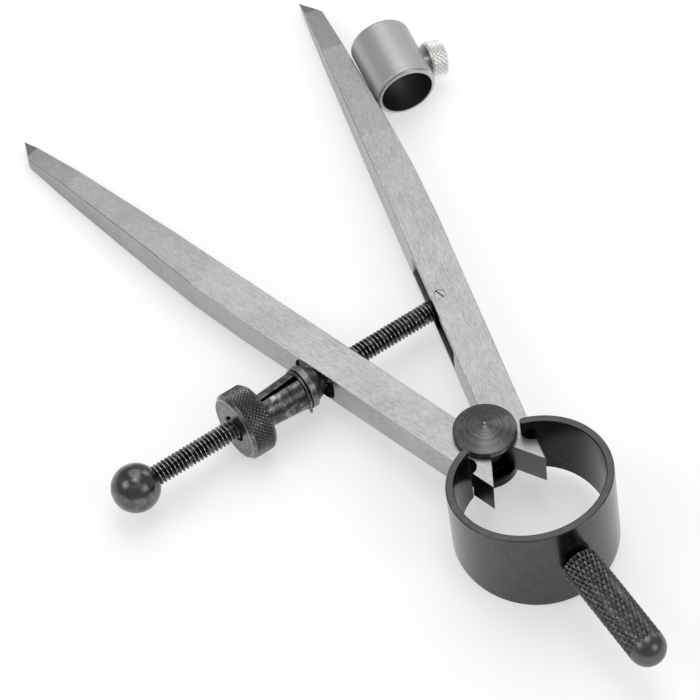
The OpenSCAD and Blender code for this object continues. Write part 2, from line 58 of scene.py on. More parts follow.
layout = {
    "legAngle": 15.2,    # degrees from the middle line to each leg
    "screwSlope": 3.2,   # degrees between the screw and the square across the legs
    "bowSwing": 2.1,     # degrees the bow is turned about the fulcrum
    "bowLean": 2.8,      # degrees the bow leans about the handle
    "bowDrop": 0.5,      # bow below the middle of the legs
    "bowBack": 20.3,     # fulcrum to the centre of the bow
    "thumbBack": 1.0,    # middle of the holder to its thumb screw
    "thumbDip": 8.0,     # degrees the thumb screw points below level
}

joints = {entry["name"]: entry for entry in frame["joints"]}
mounts = {entry["name"]: entry for entry in frame["record"]["mounts"]}


def placeOf(entry):
    return Vector(entry["pos_m"])


def wayOf(entry):
    return Vector(entry["axis"]).normalized()


def axesAt(origin, side, ahead, up):
    return Matrix.Translation(origin) @ Matrix((side, ahead, up)).transposed().to_4x4()


def turnBy(degrees, axis):
    return Matrix.Rotation(math.radians(degrees), 4, axis)


def shiftBy(x, y, z):
    return Matrix.Translation(Vector((x, y, z)) * mm)


legUp = wayOf(joints["leg_left_open"])
pinPlace = placeOf(joints["screw_swing"])
screwWay = (placeOf(joints["cup_swing"]) - pinPlace).normalized()
dividerSide = Matrix.Rotation(math.radians(-layout["screwSlope"]), 3, legUp) @ -screwWay
dividerAt = axesAt(placeOf(joints["leg_left_open"]), dividerSide, legUp.cross(dividerSide), legUp)
rightLegAt = dividerAt @ turnBy(-layout["legAngle"], "Z")  # X across and out, Y to the point
leftLegAt = dividerAt @ turnBy(layout["legAngle"], "Z")    # X across and in, Y to the point
screwAt = axesAt(pinPlace, legUp.cross(screwWay), legUp, screwWay)  # Z to the ball
bowAt = (dividerAt @ turnBy(-layout["bowSwing"], "Z") @ shiftBy(0, 0, -layout["bowDrop"])
         @ turnBy(-layout["bowLean"], "Y"))
handleAt = bowAt @ shiftBy(0, -layout["bowBack"], 0) @ turnBy(90, "X")  # Z out along the handle
holderWay = wayOf(mounts["pencil_bore"])
holderAt = axesAt(placeOf(mounts["pencil_bore"]), Vector((0, 0, 1)).cross(holderWay),
                  Vector((0, 0, 1)), holderWay)
thumbAt = (holderAt @ shiftBy(0, 0, -layout["thumbBack"]) @ turnBy(-90, "Y")
           @ turnBy(layout["thumbDip"], "X"))  # Z out through the thumb screw
print("axes ready")

# Mesh tools.


def rounded(corners, closed=False, steps=4):
    # corners are (x, y, radius); each gives a short curve in place of a sharp corner
    points = []
    for index, (x, y, radius) in enumerate(corners):
        here = Vector((x, y))
        if radius <= 0 or (not closed and index in (0, len(corners) - 1)):
            points.append((here.x, here.y))
            continue
        before = Vector(corners[index - 1][:2]) - here
        after = Vector(corners[(index + 1) % len(corners)][:2]) - here
        half = before.angle(after) / 2
        cut = min(radius / math.tan(half), before.length * 0.45, after.length * 0.45)
        start = here + before.normalized() * cut
        end = here + after.normalized() * cut
        for step in range(steps + 1):
            t = step / steps
            point = start * (1 - t) ** 2 + here * 2 * t * (1 - t) + end * t ** 2
            points.append((point.x, point.y))
    return points


def arcPoints(centre, radius, start, end, steps):
    # points (r, z) on an arc round (0, centre), in degrees from the r axis
    angles = np.radians(np.linspace(start, end, steps + 1))
    return [(radius * math.cos(a), centre + radius * math.sin(a)) for a in angles]


def meshPiece(name, points, faces, at, body=None, finish=None, flat=(), sharp=40):
    # one object in its own axes, with edges above the sharp angle kept crisp
    mesh = bpy.data.meshes.new(name)
    mesh.from_pydata([tuple(Vector(p) * mm) for p in points], [], faces)
    work = bmesh.new()
    work.from_mesh(mesh)
    for face in work.faces:
        face.smooth = face.index not in flat
    bmesh.ops.remove_doubles(work, verts=work.verts, dist=1e-7)
    bmesh.ops.recalc_face_normals(work, faces=work.faces)
    work.to_mesh(mesh)
    work.free()
    mesh.materials.append(finish)
    piece = bpy.data.objects.new(name, mesh)
    bpy.context.scene.collection.objects.link(piece)
    piece.matrix_world = at
    if body:
        settle(piece, body, sharp)
    return piece


def settle(piece, body, sharp=40):
    # crisp edges, normals that follow the large faces, and the body that it rides on
    work = bmesh.new()
    work.from_mesh(piece.data)
    for edge in work.edges:
        corner = edge.calc_face_angle(0) if len(edge.link_faces) == 2 else 0
        edge.smooth = corner < math.radians(sharp)
    work.to_mesh(piece.data)
    work.free()
    normals = piece.modifiers.new("even normals", "WEIGHTED_NORMAL")
    normals.keep_sharp = True
    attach(piece, body)


def turnedRings(rings, columns, closed=False, knurlRows=()):
    # rings are (radius, z); a radius is a number or one value for each column
    points, loops, faces, flat = [], [], [], []
    angles = np.arange(columns) * 2 * math.pi / columns
    for radius, z in rings:
        if np.ndim(radius) == 0 and radius < 1e-6:
            loops.append([len(points)])
            points.append((0, 0, z))
            continue
        loops.append(list(range(len(points), len(points) + columns)))
        across = np.broadcast_to(radius, columns)
        points += list(zip(across * np.cos(angles), across * np.sin(angles), [z] * columns))
    rows = list(zip(loops, loops[1:])) + ([(loops[-1], loops[0])] if closed else [])
    for row, (low, high) in enumerate(rows):
        for column in range(columns):
            following = (column + 1) % columns
            if len(low) == 1:
                faces.append((low[0], high[following], high[column]))
            elif len(high) == 1:
                faces.append((low[column], low[following], high[0]))
            elif row in knurlRows:
                flat += [len(faces), len(faces) + 1]
                a, b, c, d = low[column], low[following], high[following], high[column]
                even = (row + column) % 2 == 0
                faces += [(a, b, c), (a, c, d)] if even else [(a, b, d), (b, c, d)]
            else:
                faces.append((low[column], low[following], high[following], high[column]))
    return points, faces, flat


def joinRings(count, around):
    # faces of a closed strip: quads between its rings and one face over each end
    faces = []
    for ring in range(count - 1):
        for k in range(around):
            a, b = ring * around + k, ring * around + (k + 1) % around
            faces.append((a, b, b + around, a + around))
    last = (count - 1) * around
    return faces + [list(range(around)), list(range(last, last + around))]


def turnedPiece(name, outline, at, body=None, finish=None, columns=128, closed=False):
    points, faces = turnedRings(outline, columns, closed)[:2]
    return meshPiece(name, points, faces, at, body, finish)


def knurledPiece(name, s, below, start, end, above, at, body, finish, closed=False):
    # a turned piece whose band from start to end has two crossed families of V grooves:
    # quarter steps put a vertex on each crest and valley
    perMark = 4
    columns = np.arange(s["around"] * perMark) / perMark
    rows = s["along"] * perMark
    wear = np.random.RandomState(s["around"])
    band = []
    for row in range(rows + 1):
        crests = [1 - np.abs(2 * ((columns + turn * row / perMark) % 1) - 1) for turn in (1, -1)]
        height = np.minimum(np.minimum(*crests), s["flat"]) / s["flat"]
        height = height * (1 - s["uneven"] * wear.rand(len(columns)))
        band.append((s["radius"] - s["depth"] * (1 - height), start + (end - start) * row / rows))
    points, faces, flat = turnedRings(below + band + above, len(columns), closed,
                                      range(len(below), len(below) + rows))
    return meshPiece(name, points, faces, at, body, finish, flat=set(flat), sharp=30)


def roundCutter(radius, low, high, at, columns=96):
    outline = [(0, low), (radius, low), (radius, high), (0, high)]
    return turnedPiece("cutter", outline, at, columns=columns)


def prismCutter(plan, low, high, at):
    count = len(plan)
    points = [(x, y, low) for x, y in plan] + [(x, y, high) for x, y in plan]
    faces = [list(range(count))[::-1], list(range(count, 2 * count))]
    faces += [(i, (i + 1) % count, count + (i + 1) % count, count + i) for i in range(count)]
    return meshPiece("cutter", points, faces, at)


def carve(piece, cutter):
    cut = piece.modifiers.new("cut", "BOOLEAN")
    cut.object = cutter
    cut.operation = "DIFFERENCE"
    cut.solver = "EXACT"
    bpy.context.view_layer.update()
    made = bpy.data.meshes.new_from_object(
        piece.evaluated_get(bpy.context.evaluated_depsgraph_get()))
    piece.modifiers.remove(cut)
    piece.data = made
    bpy.data.objects.remove(cutter)


def cutOff(piece, point, away):
    # removes what lies on the away side of a plane and closes the cut
    work = bmesh.new()
    work.from_mesh(piece.data)
    bmesh.ops.bisect_plane(
        work, geom=list(work.verts) + list(work.edges) + list(work.faces), dist=1e-9,
        plane_co=Vector(point) * mm, plane_no=Vector(away), clear_outer=True)
    bmesh.ops.holes_fill(work, edges=[e for e in work.edges if e.is_boundary], sides=0)
    bmesh.ops.recalc_face_normals(work, faces=work.faces)
    work.to_mesh(piece.data)
    work.free()


def partFinish(piece, finish, chosen):
    # gives another finish to the faces that are chosen by middle and normal, in millimetres
    piece.data.materials.append(finish)
    for face in piece.data.polygons:
        if chosen(face.center / mm, face.normal):
            face.material_index = len(piece.data.materials) - 1


# Finishes.


def linear(hexColour):
    values = [int(hexColour[i:i + 2], 16) / 255 for i in (1, 3, 5)]
    return [v / 12.92 if v <= 0.04045 else ((v + 0.055) / 1.055) ** 2.4 for v in values] + [1]


def addNode(tree, kind, settings=None, inputs=None):
    node = tree.nodes.new(kind)
    for key, value in (settings or {}).items():
        setattr(node, key, value)
    for key, value in (inputs or {}).items():
        if isinstance(value, bpy.types.NodeSocket):
            tree.links.new(value, node.inputs[key])
        else:
            node.inputs[key].default_value = value
    return node


def newFinish(name, colour, metallic, roughness):
    finish = bpy.data.materials.new(name)
    finish.use_nodes = True
    shader = finish.node_tree.nodes["Principled BSDF"]
    shader.inputs["Base Color"].default_value = linear(colour)
    shader.inputs["Metallic"].default_value = metallic
    shader.inputs["Roughness"].default_value = roughness
    coords = addNode(finish.node_tree, "ShaderNodeTexCoord").outputs["Object"]
    return finish, finish.node_tree, shader, coords


def perMm(spacing):
    # noise scale that sets its marks this many millimetres apart
    return 1000 / spacing


def axisPlace(tree, coords):
    # how far a point is from the piece's own axis, and its height along it
    split = addNode(tree, "ShaderNodeSeparateXYZ", {}, {"Vector": coords})
    across = addNode(tree, "ShaderNodeCombineXYZ", {}, {
        "X": split.outputs["X"], "Y": split.outputs["Y"]})
    fromAxis = addNode(tree, "ShaderNodeVectorMath", {"operation": "LENGTH"}, {
        0: across.outputs[0]})
    return fromAxis.outputs["Value"], split.outputs["Z"]


def dress(tree, shader, s, tone, texture, relief):
    # gives the shader its colour, a roughness that follows the texture, and its relief
    quiet, strong = 0.3, 0.7  # most of the texture's values lie between these
    rough = addNode(tree, "ShaderNodeMapRange", {}, {
        "Value": texture, "From Min": quiet, "From Max": strong,
        "To Min": s["roughness"] - s["smoother"], "To Max": s["roughness"] + s["rougher"]})
    bump = addNode(tree, "ShaderNodeBump", {}, {
        "Strength": s["strength"], "Distance": s["bump"] * mm, "Height": relief})
    tree.links.new(tone, shader.inputs["Base Color"])
    tree.links.new(rough.outputs[0], shader.inputs["Roughness"])
    tree.links.new(bump.outputs[0], shader.inputs["Normal"])


# Ground tool steel: a grinding wheel leaves short fine grain along the leg and a few
# longer lines, which spread each highlight; small dark flecks are left by rust wiped off.
# Real grit marks are about 0.05 mm wide, so the grain is drawn coarser, to show.
# From 55 to 140 mm along the leg the colour is mixed darker towards the point.
groundSettings = {
    "colour": "#b8b8b9", "grain": "#8b8b8c", "pointward": "#848485", "fleck": "#4c4c4d",
    "grainShare": 0.58, "lineShare": 0.16, "cloudShare": 0.26, "pointwardShare": 0.42,
    "fleckShare": 0.8, "grainWidth": 0.2, "grainLength": 1.4, "grainTurn": 0.05,
    "lineWidth": 0.22, "lineLength": 18.0, "lineRelief": 0.6, "cloudSize": 9.0,
    "fleckSize": 0.7, "patchSize": 16.0, "pointwardFrom": 55.0, "pointwardTo": 140.0,
    "roughness": 0.33, "smoother": 0.05, "rougher": 0.07, "strength": 0.5, "bump": 0.007,
}


def groundSteel(name="groundToolSteel", changes=None):
    s = {**groundSettings, **(changes or {})}
    finish, tree, shader, coords = newFinish(name, s["colour"], 1, s["roughness"])

    def streaks(width, length, detail, turn=0.0):
        stretched = addNode(tree, "ShaderNodeMapping", {}, {
            "Vector": coords, "Rotation": (0, 0, turn),
            "Scale": (perMm(width), perMm(length), perMm(width))})
        return addNode(tree, "ShaderNodeTexNoise", {}, {
            "Vector": stretched.outputs[0], "Scale": 1.0, "Detail": detail,
            "Roughness": 0.6}).outputs["Fac"]

    grain = streaks(s["grainWidth"], s["grainLength"], 3.0, s["grainTurn"])
    lines = streaks(s["lineWidth"], s["lineLength"], 2.0)
    clouds, patches, flecks = [addNode(tree, "ShaderNodeTexNoise", {}, {
        "Vector": coords, "Scale": perMm(s[size]), "Detail": detail,
        "Roughness": broken}).outputs["Fac"] for size, detail, broken in (
            ("cloudSize", 4.0, 0.5), ("patchSize", 1.0, 0.5), ("fleckSize", 2.0, 0.7))]
    along = addNode(tree, "ShaderNodeSeparateXYZ", {}, {"Vector": coords}).outputs["Y"]
    # how much of each mark shows, from none to the most, over a range of its texture
    lined, clouded, grained, flecked, patched, pointward = [
        addNode(tree, "ShaderNodeMapRange", {}, {
            "Value": texture, "From Min": low, "From Max": high, "To Max": most}).outputs[0]
        for texture, low, high, most in (
            (lines, 0.35, 0.65, s["lineShare"]), (clouds, 0.3, 0.7, s["cloudShare"]),
            (grain, 0.32, 0.68, 1.0), (flecks, 0.69, 0.76, 1.0),
            (patches, 0.5, 0.62, s["fleckShare"]),
            (along, s["pointwardFrom"] * mm, s["pointwardTo"] * mm, s["pointwardShare"]))]
    broad = addNode(tree, "ShaderNodeMath", {"operation": "ADD"}, {0: lined, 1: clouded})
    marked = addNode(tree, "ShaderNodeMath", {"operation": "MULTIPLY_ADD"}, {
        0: grained, 1: s["grainShare"], 2: broad.outputs[0]}).outputs[0]
    rusted = addNode(tree, "ShaderNodeMath", {"operation": "MULTIPLY"}, {
        0: flecked, 1: patched}).outputs[0]
    tone = linear(s["colour"])
    for amount, colour in ((marked, "grain"), (pointward, "pointward"), (rusted, "fleck")):
        tone = addNode(tree, "ShaderNodeMix", {"data_type": "RGBA"}, {
            0: amount, 6: tone, 7: linear(s[colour])}).outputs[2]
    relief = addNode(tree, "ShaderNodeMath", {"operation": "MULTIPLY_ADD"}, {
        0: lines, 1: s["lineRelief"], 2: grain}).outputs[0]
    dress(tree, shader, s, tone, grain, relief)
    return finish


# Black oxide over turned or rolled steel: a thin dark skin that keeps the metal's shine,
# rubbed to grey in patches and on its crests. The turning tool's rings under it, really
# about 0.1 mm apart, are drawn coarser, to show.
# On the handle, cup, nut and stud the light tone on crests and edges is also painted highlight and
# painted reflection.
blackShared = {
    "patchSize": 2.2, "fineSize": 0.35, "wornFrom": 0.47, "wornTo": 0.72,
    "rings": 0, "ringWear": 0.2, "ringRelief": 2.5,  # rings 0 is a surface without them
    "smoother": 0.04, "rougher": 0.07, "strength": 0.5,
}
blackSettings = {
    "stud": {"colour": "#545456", "wornAndSheen": "#8e8e90", "roughness": 0.29, "rings": 0.55,
             "bump": 0.03, "patch": 0.5, "ringWear": 0.3},
    # the waist between the leg tails is a near-black copy of the stud's finish: painted shade
    "waist": {"colour": "#1e1e20", "wornAndSheen": "#2c2c2e", "roughness": 0.2, "bump": 0.002,
              "patch": 0.3},
    "bow": {"colour": "#4d4d4f", "wornAndSheen": "#5a5a5c", "roughness": 0.22, "bump": 0.002,
            "patch": 0.7},
    # the inside of the bow is painted darker than its outside: painted shade
    "bowInside": {"colour": "#28282a", "wornAndSheen": "#363638", "roughness": 0.26, "bump": 0.003,
                  "patch": 0.7},
    "handle": {"colour": "#4c4c4e", "wornAndSheen": "#d0d0d2", "roughness": 0.28, "bump": 0.004,
               "patch": 0.12},
    "dome": {"colour": "#5e5e60", "wornAndSheen": "#747476", "roughness": 0.27, "rings": 0.8,
             "bump": 0.003, "patch": 0.4},
    "screw": {"colour": "#2c2c2e", "wornAndSheen": "#c8c8ca", "roughness": 0.24, "bump": 0.003,
              "patch": 0.5},
    "ball": {"colour": "#545456", "wornAndSheen": "#8c8c8e", "roughness": 0.22, "rings": 0.6,
             "bump": 0.004, "patch": 0.8, "ringWear": 0.25},
    "cup": {"colour": "#3c3c3e", "wornAndSheen": "#8c8c8e", "roughness": 0.3, "rings": 0.3,
            "bump": 0.006, "patch": 0.25},
    "nut": {"colour": "#4a4a4c", "wornAndSheen": "#e0e0e2", "roughness": 0.3, "rings": 0.34,
            "bump": 0.01, "patch": 0.3},
    "jaw": {"colour": "#3e3e40", "wornAndSheen": "#b8b8ba", "roughness": 0.28, "rings": 0.7,
            "bump": 0.006, "patch": 0.8, "ringWear": 0.12},
}


def blackSteel(part, crestFrom=None, crestTo=None, edges=()):
    # the light tone runs with the distance from the piece's own axis, and along the given round
    # edges: each is (radius, height, width) in millimetres. On crests and edges it is partly real
    # rubbing and partly a painted highlight.
    s = {**blackShared, **blackSettings[part]}
    finish, tree, shader, coords = newFinish(
        "blackOxide" + part[0].upper() + part[1:], s["colour"], 1, s["roughness"])
    patches, fine = [addNode(tree, "ShaderNodeTexNoise", {}, {
        "Vector": coords, "Scale": perMm(s[size]), "Detail": detail,
        "Roughness": broken}).outputs["Fac"] for size, detail, broken in (
            ("patchSize", 5.0, 0.65), ("fineSize", 3.0, 0.5))]
    fromAxis, station = axisPlace(tree, coords)
    ringed = addNode(tree, "ShaderNodeCombineXYZ", {}, {"X": fromAxis, "Y": station}).outputs[0]
    wearAndSheenMasks = [addNode(tree, "ShaderNodeMapRange", {}, {
        "Value": patches, "From Min": s["wornFrom"], "From Max": s["wornTo"],
        "To Max": s["patch"]})]
    if crestTo:
        crest = addNode(tree, "ShaderNodeMapRange", {}, {
            "Value": fromAxis, "From Min": crestFrom * mm, "From Max": crestTo * mm})
        broken = addNode(tree, "ShaderNodeMapRange", {}, {
            "Value": fine, "From Min": 0.35, "From Max": 0.65, "To Min": 0.3})
        wearAndSheenMasks.append(addNode(tree, "ShaderNodeMath", {"operation": "MULTIPLY"}, {
            0: crest.outputs[0], 1: broken.outputs[0]}))
    for radius, height, width in edges:
        off = addNode(tree, "ShaderNodeVectorMath", {"operation": "DISTANCE"}, {
            0: ringed, 1: (radius * mm, height * mm, 0)})
        wearAndSheenMasks.append(addNode(tree, "ShaderNodeMapRange", {}, {
            "Value": off.outputs["Value"], "From Min": width * mm,
            "From Max": width * 0.4 * mm}))
    relief = fine
    if s["rings"]:
        # rings left by the turning tool: the same at one distance from the axis and one height
        rings = addNode(tree, "ShaderNodeTexNoise", {}, {
            "Vector": ringed, "Scale": perMm(s["rings"]), "Detail": 2.0}).outputs["Fac"]
        relief = addNode(tree, "ShaderNodeMath", {"operation": "MULTIPLY_ADD"}, {
            0: rings, 1: s["ringRelief"], 2: fine}).outputs[0]
        wearAndSheenMasks.append(addNode(tree, "ShaderNodeMapRange", {}, {
            "Value": rings, "From Min": 0.35, "From Max": 0.7, "To Max": s["ringWear"]}))
    # the light tone: real rubbing, and on crests and edges also painted highlight
    wear = wearAndSheenMasks[0]
    for other in wearAndSheenMasks[1:]:
        wear = addNode(tree, "ShaderNodeMath", {"operation": "MAXIMUM"}, {
            0: wear.outputs[0], 1: other.outputs[0]})
    tone = addNode(tree, "ShaderNodeMix", {"data_type": "RGBA"}, {
        0: wear.outputs[0], 6: linear(s["colour"]), 7: linear(s["wornAndSheen"])})
    dress(tree, shader, s, tone.outputs[2], fine, relief)
    return finish


# Drawn and turned steel tube, satin: faint lines round it, drawn coarser than the real
# 0.1 mm to show, and a soft broad shine.
tubeSettings = {
    # the bore colour is painted shade inside the tube
    "colour": "#bcbcbc", "dark": "#a8a8a8", "bore": "#5e5e5e", "boreShadeFrom": 6.8, "boreShadeTo": 6.62,
    "line": 0.35, "lineLength": 6.0, "cloudSize": 5.0,
    "roughness": 0.48, "smoother": 0.05, "rougher": 0.08, "strength": 0.5, "bump": 0.003,
}


def satinTube(name="satinSteelTube", changes=None):
    s = {**tubeSettings, **(changes or {})}
    finish, tree, shader, coords = newFinish(name, s["colour"], 1, s["roughness"])
    stretched = addNode(tree, "ShaderNodeMapping", {}, {
        "Vector": coords,
        "Scale": (perMm(s["lineLength"]), perMm(s["lineLength"]), perMm(s["line"]))})
    lines = addNode(tree, "ShaderNodeTexNoise", {}, {
        "Vector": stretched.outputs[0], "Scale": 1.0, "Detail": 3.0}).outputs["Fac"]
    clouds = addNode(tree, "ShaderNodeTexNoise", {}, {
        "Vector": coords, "Scale": perMm(s["cloudSize"])}).outputs["Fac"]
    lined = addNode(tree, "ShaderNodeMath", {"operation": "MULTIPLY"}, {0: lines, 1: clouds})
    # painted shade: the bore is mixed darker
    inside = addNode(tree, "ShaderNodeMapRange", {}, {
        "Value": axisPlace(tree, coords)[0], "From Min": s["boreShadeFrom"] * mm,
        "From Max": s["boreShadeTo"] * mm})
    tone = linear(s["colour"])
    for amount, colour in ((lined, "dark"), (inside, "bore")):
        tone = addNode(tree, "ShaderNodeMix", {"data_type": "RGBA"}, {
            0: amount.outputs[0], 6: tone, 7: linear(s[colour])}).outputs[2]
    dress(tree, shader, s, tone, lines, lines)
    return finish


# Bright nickel plate on knurled steel: each facet takes a flat pale tone of its own, and
# the grooves are a little duller.
nickelSettings = {
    "colour": "#fafaf8", "groove": "#e2e1df", "crest": 4.85, "valley": 4.6, "spotSize": 0.8,
    "roughness": 0.34, "smoother": 0.05, "rougher": 0.12, "strength": 0.4, "bump": 0.004,
}


def nickelPlate():
    s = nickelSettings
    finish, tree, shader, coords = newFinish("brightNickelPlate", s["colour"], 1, s["roughness"])
    crest = addNode(tree, "ShaderNodeMapRange", {}, {
        "Value": axisPlace(tree, coords)[0], "From Min": s["valley"] * mm,
        "From Max": s["crest"] * mm})
    spots = addNode(tree, "ShaderNodeTexNoise", {}, {
        "Vector": coords, "Scale": perMm(s["spotSize"]), "Detail": 3.0}).outputs["Fac"]
    tone = addNode(tree, "ShaderNodeMix", {"data_type": "RGBA"}, {
        0: crest.outputs[0], 6: linear(s["groove"]), 7: linear(s["colour"])})
    dress(tree, shader, s, tone.outputs[2], spots, spots)
    return finish


legFinish = groundSteel()
# The long outer corners are painted bright up to the taper: a painted highlight. Along the taper
# the corner on the left is painted dark: a painted dark reflection. The slanted ends were ground
# finer, and are painted darker: painted shade. The last flats before the points are finer and
# paler. Under the hooks the outer sides are painted dark: painted shade.
highlightCornerFinish = groundSteel("paintedHighlightToolSteel", {
    "colour": "#f0f0f0", "grain": "#dcdcdc", "roughness": 0.3})
# painted dark reflection along the corner on the left
darkEdgeFinish = groundSteel("paintedDarkEdgeToolSteel", {"colour": "#5a5a5c", "grain": "#4a4a4c"})
# painted shade on the slanted tail ends
shadedTailFinish = groundSteel("shadedTailToolSteel", {
    "colour": "#666668", "grain": "#525254", "roughness": 0.2})
# painted shade on the outer sides under the hooks of the bow
shadedHookSideFinish = groundSteel("shadedHookSideToolSteel", {
    "colour": "#48484a", "grain": "#343436", "roughness": 0.25})
tipFinish = groundSteel("fineGroundToolSteel", {
    "colour": "#c8c8c9", "grain": "#979798", "cloudSize": 5.0})
# the pip on top is rubbed and painted bright: partly wear, partly a painted highlight
studFinish = blackSteel("stud", edges=[(0.1, 7.85, 0.4)])
shadedWaistFinish = blackSteel("waist")
bowFinish = blackSteel("bow")
shadedInsideFinish = blackSteel("bowInside")
# the knurl crests are rubbed grey and painted brighter still as glints: painted highlights
handleFinish = blackSteel("handle", 4.45, 4.55)
domeFinish = blackSteel("dome")
screwFinish = blackSteel("screw", 2.46, 2.55)
ballFinish = blackSteel("ball")
# the band of the cup and its rim are painted lighter: a painted reflection
cupFinish = blackSteel("cup", 5.2, 5.38, [(5.4, 40.68, 0.15)])
# the collar's knurl crests and two rims are partly rubbed and partly painted bright as highlights
nutFinish = blackSteel("nut", 8.4, 8.55, [(7.65, 59.68, 0.07), (8.5, 53.78, 0.12)])
jawFinish = blackSteel("jaw")
tubeFinish = satinTube()
# the rounded lips of the tube are rubbed smoother than its wall
lipFinish = satinTube("rubbedSteelLip", {
    "colour": "#c2c2c2", "dark": "#8e8e8e", "roughness": 0.3})
nickelFinish = nickelPlate()
print("finishes ready")

# Legs: ground flat bars that taper to a thin chisel point.
legs = {
    "tail": -16.0,            # the bar starts here, before the slanted end is cut
    "inner": [(-2.2, 1.0), (150, 0.75)],  # along and across, as in the next two
    "outer": [(-16, 10.7), (68, 10.7), (84, 10.2), (144.2, 5.25), (150, 0.95)],
    "half": [(-16, 4.1), (98, 4.1), (130, 3.05), (145.5, 1.3), (150, 0.1)],
    "least": (0.16, 0.08),    # width and half height at the very point
    "reach": 150.0,
    "spacing": 3.0,           # between sections, which are closer at creases and the point
    "nearCrease": (-0.45, -0.3, -0.15, 0, 0.15, 0.3, 0.45),
    "nearPoint": [148.5, 149.4, 149.8, 150.0],
    "softening": 0.35,        # how far a ground crease is rounded over
    "edge": 0.24,             # radius of the long edges
    "edgeShare": 0.3,         # the most of a side that an edge takes
    "waist": 4.66,            # notch for the stud
    "tailLine": -1.2,         # across plus along, on the slanted end
    "notch": (10.176, -3.071, 2.525),   # hook of the bow: across, along, radius
    "slot": (26.0, 57.5, 6.0),          # from, to and height, at the inner face
    "slotFloor": {"right": (28.0, 55.5, 6.6), "left": (39.0, 47.7, 10.7)},  # from, to, depth
    "pin": (3.25, 43.3, 1.4),
    "seat": (1.3, 3.95, 4.4, 1.25),  # cup's pocket: depth, radius, travel, start below the cup
    # where the painted highlight and the painted dark edge end, where the paler tips lie, and
    # where the painted shade on the slanted ends stops
    "brightTo": 84.0, "darkEdgeTo": 129.0, "tips": (130.0, 145.5), "shadedTailTo": -1.3,
    "shadeReach": 0.5,        # how far past the notch the painted shade reaches
}
# the least part of a face's normal along the way that it looks
facing = {"corner": 0.25, "darkEdgeCorner": 0.4, "side": 0.6, "top": 0.9}
through = 9  # half the length of a cutter that goes right through a leg


def softly(table, station):
    stations, values = zip(*table)
    near = [station + legs["softening"] * k for k in (-1, -0.5, 0, 0.5, 1)]
    return float(np.mean(np.interp(near, stations, values)))


def legPiece(name, side, at, body):
    s = legs
    out = 1 if side == "right" else -1
    creases = [station for station, value in s["outer"][1:-1] + s["half"][1:-1]]
    stations = list(np.arange(s["tail"], s["reach"] - 1, s["spacing"])) + s["nearPoint"]
    stations = sorted(set(stations + [c + step for c in creases for step in s["nearCrease"]]))
    points = []
    leastWidth, leastHalf = s["least"]
    for station in stations:
        inner = np.interp(station, *zip(*s["inner"]))
        outer = max(softly(s["outer"], station), inner + leastWidth)
        half = max(softly(s["half"], station), leastHalf)
        edge = min(s["edge"], s["edgeShare"] * (outer - inner), s["edgeShare"] * 2 * half)
        section = rounded([(inner, half, edge), (outer, half, edge), (outer, -half, edge),
                           (inner, -half, edge)], closed=True, steps=3)
        points += [(out * x, station, z) for x, z in section]
    faces = joinRings(len(stations), len(section))
    piece = meshPiece(name, points, faces, at, finish=legFinish)
    cutOff(piece, (0, s["tailLine"], 0), (-out, -1, 0))
    carve(piece, roundCutter(s["waist"], -through, through, at))
    across, along, radius = s["notch"]
    hookEnd = along - radius + s["shadeReach"]
    carve(piece, roundCutter(radius, -through, through, at @ shiftBy(out * across, along, 0)))
    slotFrom, slotTo, height = s["slot"]
    floorFrom, floorTo, depth = s["slotFloor"][side]
    runIn, runOut = (floorFrom - slotFrom) / depth, (slotTo - floorTo) / depth
    floorAt = s["inner"][0][1] + depth
    plan = [(0, slotFrom - runIn), (floorAt, floorFrom), (floorAt, floorTo), (0, slotTo + runOut)]
    carve(piece, prismCutter([(out * x, y) for x, y in plan], -height / 2, height / 2, at))
    if side == "right":
        across, along, radius = s["pin"]
        pinHole = at @ shiftBy(across, along, 0)
        carve(piece, roundCutter(radius, -through, through, pinHole, 48))
    else:
        depth, radius, travel, below = s["seat"]
        low = (at.inverted() @ placeOf(joints["cup_swing"])).y / mm - below
        high = low + travel
        pocket = rounded([(-radius, low - radius, radius), (radius, low - radius, radius),
                          (radius, high + radius, radius), (-radius, high + radius, radius)],
                         closed=True, steps=12)
        pocketAt = at @ shiftBy(depth - s["outer"][0][1], 0, 0) @ turnBy(-90, "Y")
        carve(piece, prismCutter(pocket, 0, 3, pocketAt))
    # painted light and shade: a painted highlight on the outer corners, a painted dark reflection
    # on the corner on the left along the taper, and painted shade on the slanted ends and on the
    # sides under the hooks
    partFinish(piece, highlightCornerFinish, lambda middle, normal: out * normal.x > facing["corner"]
               and normal.z > facing["corner"] and middle.y < s["brightTo"])
    partFinish(piece, darkEdgeFinish, lambda middle, normal: normal.x < -facing["darkEdgeCorner"]
               and normal.z > facing["darkEdgeCorner"] and s["brightTo"] < middle.y < s["darkEdgeTo"])
    partFinish(piece, shadedTailFinish, lambda middle, normal: out * normal.x < -facing["side"]
               and normal.y < -facing["side"] and middle.y < s["shadedTailTo"])
    partFinish(piece, shadedHookSideFinish, lambda middle, normal: out * normal.x > facing["side"]
               and middle.y < hookEnd)
    partFinish(piece, tipFinish, lambda middle, normal: normal.z > facing["top"]
               and s["tips"][0] < middle.y < s["tips"][1])
    settle(piece, body, sharp=28)
    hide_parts(name[0:3] + "_" + side)


legPiece("legRight", "right", rightLegAt, "leg_right")
legPiece("legLeft", "left", leftLegAt, "leg_left")

